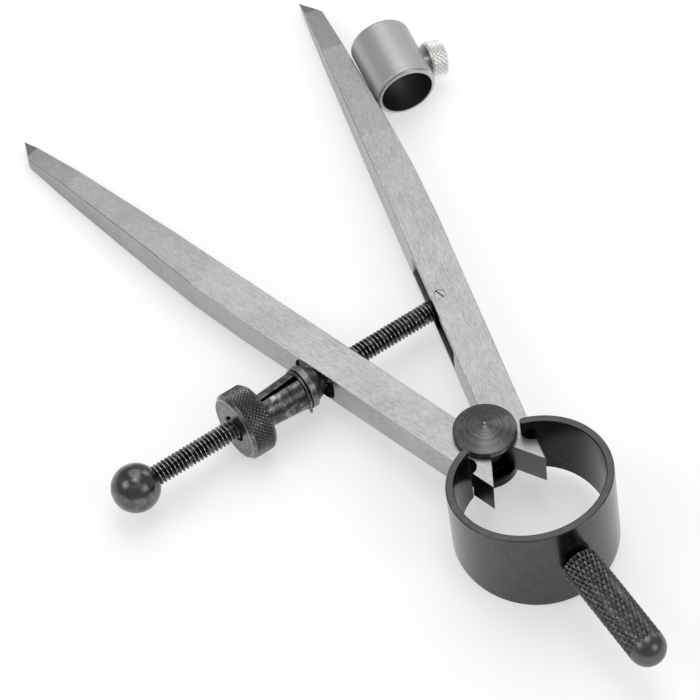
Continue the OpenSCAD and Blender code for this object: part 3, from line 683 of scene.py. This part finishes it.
pivotPin = {"radius": 1.36, "half": 4.08, "edge": 0.12, "slotWidth": 0.45, "slotDepth": 0.4,
            "slotTurn": 118, "slotReach": 2, "slotTop": 6, "columns": 48}
pinAt = rightLegAt @ shiftBy(legs["pin"][0], legs["pin"][1], 0)
radius, half, edge = pivotPin["radius"], pivotPin["half"], pivotPin["edge"]
pin = turnedPiece("pivotPin", rounded([
    (0, -half, 0), (radius, -half, edge), (radius, half, edge), (0, half, 0)]),
    pinAt, finish=legFinish, columns=pivotPin["columns"])
wide, long = pivotPin["slotWidth"] / 2, pivotPin["slotReach"]
carve(pin, prismCutter([(-long, -wide), (long, -wide), (long, wide), (-long, wide)],
                       half - pivotPin["slotDepth"], pivotPin["slotTop"],
                       pinAt @ turnBy(pivotPin["slotTurn"], "Z")))
settle(pin, "leg_right")
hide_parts("screw_pivot_pin")
print("legs and pin ready")

# Fulcrum stud: a turned spool with a shallow cone on top.
spool = {
    # from the bottom up: radius, height, rounding
    "outline": [(0, -7.65, 0), (7.45, -7.65, 0.5), (7.45, -4.7, 0.5), (4.6, -4.7, 0.35),
                (4.6, 4.2, 0.3), (7.45, 4.2, 0.12), (7.45, 5.55, 0.22), (0.5, 7.74, 0.2),
                (0.22, 7.88, 0.1), (0, 7.9, 0)],
    "waistTo": 4.3, "columns": 144,
}
stud = turnedPiece("fulcrumStud", rounded(spool["outline"]), dividerAt,
                   "frame", studFinish, spool["columns"])
# the waist below the head takes the near-black painted shade
partFinish(stud, shadedWaistFinish, lambda middle, normal: middle.z < spool["waistTo"])
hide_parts("fulcrum_stud")

# Bow: a strip bent to a C, tall at the handle, with its ends turned in to the legs.
bow = {
    "radius": 18.4, "thick": 1.85, "endRadius": 16.4, "endFrom": 10.0, "endTo": 68.5,
    "height": 26.2, "tipHeight": 16.2, "edge": 0.3, "step": 2.0,
    "roundEnd": (15, 30, 45, 60, 75, 88),  # degrees round the end of the strip
    "blendBack": 1.5,         # from this far before its end the strip follows the leg
    "insideFacing": -0.7,     # faces that look inwards more than this are the inside
}


def bowHalf(name, out):
    s = bow
    outer = s["radius"] + s["thick"] / 2
    fall = (s["height"] - s["tipHeight"]) / 2 / (2 * outer)
    centre = Vector((0, -layout["bowBack"]))
    shift = s["radius"] - s["endRadius"]
    turn = math.radians(s["endFrom"])
    endCentre = centre + shift * Vector((math.cos(turn), math.sin(turn)))
    path = []
    for middle, radius, first, last, count in (
            (centre, s["radius"], -90, s["endFrom"], 50),
            (endCentre, s["endRadius"], s["endFrom"] + s["step"], s["endTo"], 30)):
        for angle in np.radians(np.linspace(first, last, count)):
            way = Vector((math.cos(angle), math.sin(angle)))
            path.append((middle + way * radius, way, 1.0))
    tip, way = path[-1][:2]
    along = Vector((-way.y, way.x))
    for angle in s["roundEnd"]:
        lean = math.radians(angle)
        path.append((tip + along * math.sin(lean) * s["thick"] / 2, way, math.cos(lean)))
    points, normals = [], []
    flatTop = Vector((0, fall, 1)).normalized()
    perCorner = 4
    for place, way, share in path:
        # the rounded end leans its side faces towards the way the strip runs
        lean = math.sqrt(max(0, 1 - share * share))
        half = s["height"] / 2 - fall * (place.y - centre.y + outer)
        wide = s["thick"] / 2 * share
        edge = min(s["edge"], wide * 0.8)
        for signOut, signUp in ((1, 1), (1, -1), (-1, -1), (-1, 1)):
            for step in range(perCorner):
                t = step / (perCorner - 1)
                swing = (1 - t if signOut == signUp else t) * math.pi / 2
                x = wide - edge + edge * math.cos(swing)
                z = half - edge + edge * math.sin(swing)
                point = place + way * signOut * x
                points.append((out * point.x, point.y, signUp * z))
                flat = way * signOut * share * math.cos(swing) + along * lean * math.cos(swing)
                up = Vector((0, flatTop.y, signUp * flatTop.z)) * math.sin(swing)
                normal = (Vector((flat.x, flat.y, 0)) + up).normalized()
                normals.append((out * normal.x, normal.y, normal.z))
    faces = joinRings(len(path), 4 * perCorner)
    mesh = bpy.data.meshes.new(name)
    mesh.from_pydata([tuple(Vector(p) * mm) for p in points], [], faces)
    work = bmesh.new()
    work.from_mesh(mesh)
    bmesh.ops.recalc_face_normals(work, faces=work.faces)
    for face in work.faces:
        face.smooth = len(face.verts) == 4
    work.to_mesh(mesh)
    work.free()
    mesh.normals_split_custom_set([
        normals[mesh.loops[loop].vertex_index] if len(face.vertices) == 4 else tuple(face.normal)
        for face in mesh.polygons for loop in face.loop_indices])
    mesh.materials.append(bowFinish)
    mesh.materials.append(shadedInsideFinish)
    middle = Vector((0, -layout["bowBack"], 0)) * mm
    # faces that look inwards take the darker finish: painted shade inside the bow
    for face in mesh.polygons:
        outward = Vector((face.center.x, face.center.y - middle.y, 0)).normalized()
        face.material_index = int(face.normal.dot(outward) < s["insideFacing"])
    piece = bpy.data.objects.new(name, mesh)
    bpy.context.scene.collection.objects.link(piece)
    piece.matrix_world = bowAt
    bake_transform(piece)
    return piece


bowRight = bowHalf("bowRight", 1)
bowHalf("bowLeft", -1)
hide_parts("bow_spring")
print("stud and bow ready")

# Handle: a knurled stem with a polished domed end, riveted through the bow.
handle = {
    "start": 19.34, "end": 47.5, "radius": 4.55, "chamfer": 0.8, "dome": 4.45, "depth": 0.3,
    "around": 25, "along": 10, "flat": 0.9, "uneven": 0.16,
    # the rivet head inside the bow: radius, height, rounding
    "rivet": [(0, 16.2, 0), (2.7, 16.2, 0.5), (3.2, 16.9, 0.15), (3.2, 17.3, 0.1),
              (1.9, 17.5, 0.1), (1.9, 19.6, 0), (0, 19.6, 0)],
}
low, high = handle["start"], handle["end"]
stem = knurledPiece(
    "handleStem", handle, [(0, low), (handle["radius"] - handle["chamfer"], low)],
    low + handle["chamfer"], high,
    arcPoints(high, handle["dome"], 3, 90, 14)[:-1] + [(0, high + handle["dome"])],
    handleAt, "frame", handleFinish)
partFinish(stem, domeFinish, lambda middle, normal: middle.z > handle["end"] + 0.05)
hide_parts("handle")
turnedPiece("handleRivet", rounded(handle["rivet"]), handleAt,
            "frame", handleFinish, columns=64)

# Adjusting screw: one real helical thread between the eye and the ball.
screw = {
    "radius": 2.55, "depth": 0.55, "pitch": 1.03, "plainEnd": 3.7, "eyeTo": 1.5, "edge": 0.2,
    "from": 3.0, "to": 82.4, "fade": 0.6, "columns": 64,
    # one turn of the thread: part of the pitch, part of the depth
    "profile": [(0.0, 0.9), (0.04, 1), (0.15, 1), (0.19, 0.9), (0.5, 0.08), (0.56, 0),
                (0.66, 0), (0.72, 0.08)],
}


def threadPiece():
    s = screw
    low, high, columns, perTurn = s["from"], s["to"], s["columns"], len(s["profile"])
    rows = int((high - low) / s["pitch"]) * perTurn
    points, faces = [], []
    for row in range(rows + 1):
        turn, part = divmod(row, perTurn)
        phase, lift = s["profile"][part]
        for column in range(columns):
            angle = 2 * math.pi * column / columns
            z = low + s["pitch"] * (turn + phase + column / columns)
            fade = min(1, max(0, (z - low) / s["fade"])) * min(1, max(0, (high - z) / s["fade"]))
            radius = s["radius"] - s["depth"] * (1 - lift * fade)
            points.append((radius * math.cos(angle), radius * math.sin(angle), z))
    for row in range(rows):
        for column in range(columns):
            a = row * columns + column
            if column < columns - 1:
                faces.append((a, a + 1, a + 1 + columns, a + columns))
            elif row + perTurn + 1 <= rows:
                b = (row + perTurn) * columns
                faces.append((a, b, b + columns, a + columns))
    # each end is closed by a fan over its first or last turn and the step beside it
    firstLoop = list(range(columns)) + [r * columns for r in range(perTurn, 0, -1)]
    lastLoop = ([rows * columns + c for c in range(columns)]
                + [r * columns + columns - 1 for r in range(rows - 1, rows - perTurn - 1, -1)])
    for loop, z in ((firstLoop, low), (lastLoop, high)):
        faces += [(loop[i], loop[(i + 1) % len(loop)], len(points)) for i in range(len(loop))]
        points.append((0, 0, z))
    return points, faces


points, faces = threadPiece()
radius, plainEnd, edge = screw["radius"], screw["plainEnd"], screw["edge"]
eyePoints, eyeFaces = turnedRings(arcPoints(0, radius, -90, 0, 10) + [
    (radius, screw["eyeTo"]), (radius, plainEnd - edge), (radius - edge, plainEnd),
    (0, plainEnd)], screw["columns"])[:2]
offset = len(points)
thread = meshPiece("adjustingScrew", points + eyePoints,
                   faces + [tuple(i + offset for i in face) for face in eyeFaces],
                   screwAt, "screw", screwFinish, sharp=50)
# the eye of the screw, inside the leg, takes the near-black painted shade of the waist
partFinish(thread, shadedWaistFinish, lambda middle, normal: middle.z < screw["from"] + 0.05)
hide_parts("adjusting_screw")

ball = {"centre": 87.3, "radius": 5.85}
low, high = ball["centre"] - ball["radius"], ball["centre"] + ball["radius"]
knob = turnedPiece(
    "screwBall", [(0, low)] + arcPoints(ball["centre"], ball["radius"], -87, 87, 58) + [(0, high)],
    screwAt, "screw", ballFinish)
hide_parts("screw_ball")
print("handle, screw and ball ready")

# Seat cup, quick-release nut and its wire ring.
cup = {"dome": 38.98, "radius": 5.4, "nose": 4.5, "bore": 2.9, "band": 1.7, "cone": 4.6,
       "floor": 3.89}
low, high = cup["dome"], cup["dome"] + cup["band"]
domeEdge = math.degrees(math.acos(cup["bore"] / cup["nose"]))
cupOutline = ([(cup["bore"], low - cup["nose"] * math.sin(math.radians(domeEdge)))]
              + arcPoints(low, cup["nose"], -domeEdge, 0, 20)[1:]
              + rounded([(cup["nose"], low, 0), (cup["radius"], low + 0.05, 0.1),
                         (cup["radius"], high, 0.2), (cup["cone"], high, 0.08),
                         (cup["floor"], low + 0.1, 0), (cup["bore"], low + 0.1, 0)])[1:])
seat = turnedPiece("seatCup", cupOutline, screwAt, "seat_cup", cupFinish, closed=True)
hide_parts("seat_cup")

collar = {"from": 52.88, "length": 6.8, "radius": 8.55, "chamfer": 0.9, "lean": 0.22,
          "bore": 3.3, "recess": 4.35, "recessDepth": 2.4, "depth": 0.34, "around": 50,
          "along": 5, "flat": 0.85, "uneven": 0.18}
low, high = collar["from"], collar["from"] + collar["length"]
recessAt, chamfer = low + collar["recessDepth"], collar["chamfer"]
rim, face = collar["radius"] - collar["lean"], collar["radius"] - chamfer
nut = knurledPiece(
    "nutCollar", collar, rounded([(collar["recess"], recessAt, 0), (collar["recess"], low, 0.15),
                                  (face, low, 0.2), (rim, low + chamfer, 0)]),
    low + chamfer, high - chamfer,
    rounded([(rim, high - chamfer, 0), (face, high, 0.2), (collar["bore"], high, 0.3),
             (collar["bore"], recessAt, 0)]),
    screwAt, "nut_collar", nutFinish, closed=True)
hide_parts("nut_collar")

jaws = {"tip": 39.38, "rim": 40.68, "end": 55.18, "noseTip": 3.87, "noseRim": 4.45, "groove": 4.4,
        "grooveFrom": 40.73, "grooveTo": 41.63, "neckTip": 4.85, "neckRoot": 4.05, "bore": 2.62,
        "relief": 3.15, "threadTo": 44.38, "splitTip": 0.95, "splitRoot": 0.2}
jawOutline = rounded([
    (jaws["bore"], jaws["tip"], 0), (jaws["noseTip"], jaws["tip"], 0.1),
    (jaws["noseRim"], jaws["rim"], 0), (jaws["groove"], jaws["grooveFrom"], 0),
    (jaws["groove"], jaws["grooveTo"], 0.1), (jaws["neckTip"], jaws["grooveTo"], 0.15),
    (jaws["neckRoot"], collar["from"] - 0.2, 0), (jaws["neckRoot"], jaws["end"], 0),
    (jaws["relief"], jaws["end"], 0), (jaws["relief"], jaws["threadTo"], 0),
    (jaws["bore"], jaws["threadTo"], 0)], closed=True)
fallIn = jaws["splitTip"] - jaws["splitRoot"]
long = jaws["end"] - jaws["tip"] + 2
for name, node, out in (("nutJawPointSide", "nut_jaw_point_side", -1),
                        ("nutJawBowSide", "nut_jaw_bow_side", 1)):
    jaw = turnedPiece(name, jawOutline, screwAt, finish=jawFinish, closed=True)
    cutOff(jaw, (out * jaws["splitTip"], 0, jaws["tip"] - 1), (-out * long, 0, -fallIn))
    settle(jaw, node)
    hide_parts(node)

wire = {"station": 41.18, "radius": 4.8, "wire": 0.4, "gapAt": 318, "gap": 16, "curl": 0.75,
        "curlOver": 14, "steps": 120, "endSteps": 5, "around": 16}


def wireEnd(angle, side, first, last):
    # the wire narrows to a rounded end
    return [(angle + side * math.cos(k) * wire["wire"] / wire["radius"], math.sin(k))
            for k in np.linspace(first, last, wire["endSteps"])]


points, around = [], wire["around"]
arc = np.radians(np.linspace(wire["gapAt"] + wire["gap"] / 2,
                             wire["gapAt"] + 360 - wire["gap"] / 2, wire["steps"]))
shares = wireEnd(arc[0], -1, 0.3, 1.4) + [(a, 1.0) for a in arc] + wireEnd(arc[-1], 1, 1.4, 0.1)
for angle, share in shares:
    # the first end is curled out a little, to be lifted off with a nail
    lift = max(0, 1 - (angle - arc[0]) / math.radians(wire["curlOver"]))
    for k in range(around):
        turn = 2 * math.pi * k / around
        radius = wire["radius"] + wire["curl"] * lift ** 2 + wire["wire"] * share * math.cos(turn)
        points.append((radius * math.cos(angle), radius * math.sin(angle),
                       wire["station"] + wire["wire"] * share * math.sin(turn)))
spring = meshPiece("nutSpringRing", points, joinRings(len(shares), around), screwAt,
                   "nut_ring", jawFinish, sharp=60)
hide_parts("nut_spring_ring")
print("cup, nut and ring ready")

# Pencil holder and its thumb screw.
holder = {"radius": 7.8, "bore": 6.55, "half": 9.1, "edge": 1.0, "hole": 1.55, "holeFrom": 4,
          "holeTo": 10, "lipLength": 0.5, "lipWall": 0.3}
bore, half, edge = holder["bore"], holder["half"], holder["edge"]
lip = holder["radius"] - edge
tubeOutline = (rounded([(bore, half - 1, 0), (bore, half, 0.1), (lip, half, 0)])
               + [(r + lip, z) for r, z in arcPoints(half - edge, edge, 80, 0, 8)])
tubeOutline += [(r, -z) for r, z in reversed(tubeOutline)]
tube = turnedPiece("pencilHolder", tubeOutline, holderAt, finish=tubeFinish, closed=True)
carve(tube, roundCutter(holder["hole"], holder["holeFrom"], holder["holeTo"], thumbAt, 48))
partFinish(tube, lipFinish, lambda middle, normal: abs(middle.z) > half - holder["lipLength"]
           and Vector((middle.x, middle.y)).length > bore + holder["lipWall"])
settle(tube, "pencil_ring")
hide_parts("pencil_ring")

thumb = {"face": 8.45, "out": 12.85, "radius": 4.85, "chamfer": 0.5, "lean": 0.2, "stem": 1.5,
         "tip": 6.85, "depth": 0.22, "around": 28, "along": 3, "flat": 0.8, "uneven": 0.1}
low, high, stemRadius, chamfer = thumb["face"], thumb["out"], thumb["stem"], thumb["chamfer"]
rim, face = thumb["radius"] - thumb["lean"], thumb["radius"] - chamfer
thumbScrew = knurledPiece(
    "thumbScrew", thumb,
    [(0, thumb["tip"]), (stemRadius - 0.2, thumb["tip"]), (stemRadius, thumb["tip"] + 0.2)]
    + rounded([(stemRadius, low, 0), (face, low, 0.15), (rim, low + chamfer, 0)]),
    low + chamfer, high - chamfer,
    rounded([(rim, high - chamfer, 0), (face, high, 0.15), (0, high, 0)]),
    thumbAt, "thumb_screw", nickelFinish)
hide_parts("thumb_screw")
print("pencil holder ready")

# Floor, light and camera.
studio = {
    "floor": "#d4d4d4", "floorSeen": 0.48, "floorShine": 0.57, "floorHalf": 4, "world": 0.4,
    "lampDistance": 1.2,      # metres
    "lamps": {                # way from the divider's middle, size in metres, brightness
        "backLight": ((0.27, 0.50, 0.82), 0.9, 1.2),
        "topLight": ((0.1, 0.03, 0.99), 0.56, 1.9),
        "leftLight": ((-0.7, 0.16, 0.69), 0.56, 2.0),
        "frontLight": ((0.34, -0.78, 0.53), 0.52, 1.9),
        "rightLight": ((0.83, 0.28, 0.48), 0.5, 1.4)},
}
floorFinish, tree, shader = newFinish("paperSweep", studio["floor"], 0, 0.9)[:3]
shader.inputs["Specular IOR Level"].default_value = 0.0
rays = addNode(tree, "ShaderNodeLightPath")
mirrored = addNode(tree, "ShaderNodeMath", {"operation": "MAXIMUM"}, {
    0: rays.outputs["Is Glossy Ray"], 1: rays.outputs["Is Transmission Ray"]})
shine = addNode(tree, "ShaderNodeMath", {"operation": "MULTIPLY"}, {
    0: mirrored.outputs[0], 1: studio["floorShine"]})
glow = addNode(tree, "ShaderNodeMath", {"operation": "MULTIPLY_ADD"}, {
    0: rays.outputs["Is Camera Ray"], 1: studio["floorSeen"], 2: shine.outputs[0]})
shader.inputs["Emission Color"].default_value = (1, 1, 1, 1)
tree.links.new(glow.outputs[0], shader.inputs["Emission Strength"])
far = studio["floorHalf"]
floorMesh = bpy.data.meshes.new("floor")
floorMesh.from_pydata([(-far, -far, 0), (far, -far, 0), (far, far, 0), (-far, far, 0)], [],
                      [(0, 1, 2, 3)])
floorMesh.materials.append(floorFinish)
floor = bpy.data.objects.new("floor", floorMesh)
bpy.context.scene.collection.objects.link(floor)

world = bpy.data.worlds.new("studio")
bpy.context.scene.world = world
world.use_nodes = True
tree = world.node_tree
tree.nodes.clear()
rays = addNode(tree, "ShaderNodeLightPath")
light, white = [addNode(tree, "ShaderNodeBackground", {}, {
    "Color": (1, 1, 1, 1), "Strength": strength}) for strength in (studio["world"], 1.0)]
both = addNode(tree, "ShaderNodeMixShader", {}, {
    0: rays.outputs["Is Camera Ray"], 1: light.outputs[0], 2: white.outputs[0]})
addNode(tree, "ShaderNodeOutputWorld", {}, {"Surface": both.outputs[0]})

for name, (way, size, strength) in studio["lamps"].items():
    # a square lamp in the divider's own directions, facing its middle
    lamp = bpy.data.lights.new(name, "AREA")
    lamp.shape = "SQUARE"
    lamp.size = size
    lamp.energy = strength * math.pi * size * size  # strength is its brightness, 1 is white
    box = bpy.data.objects.new(name, lamp)
    bpy.context.scene.collection.objects.link(box)
    aim = (dividerAt.to_3x3() @ Vector(way)).normalized()
    box.matrix_world = (Matrix.Translation(aim * studio["lampDistance"])
                        @ aim.to_track_quat("Z", "Y").to_matrix().to_4x4())

view = {
    "centre": (-302.4, -503.2, 749.8),       # millimetres, in the divider's own axes
    "right": (0.840397, -0.538187, -0.063929),
    "down": (-0.451068, -0.629166, -0.632999),
    "forward": (0.300450, 0.560807, -0.771509),
    "focal": 4132.0, "frame": 700.0,
}
lens = bpy.data.cameras.new("camera")
lens.sensor_width = 36.0
lens.lens = view["focal"] / view["frame"] * lens.sensor_width
lens.clip_start = 0.05
camera = bpy.data.objects.new("camera", lens)
bpy.context.scene.collection.objects.link(camera)
camera.matrix_world = dividerAt @ axesAt(Vector(view["centre"]) * mm, Vector(view["right"]),
                                         -Vector(view["down"]), -Vector(view["forward"]))
bpy.context.scene.camera = camera
bpy.context.scene.view_settings.view_transform = "Standard"
print("light and camera ready")
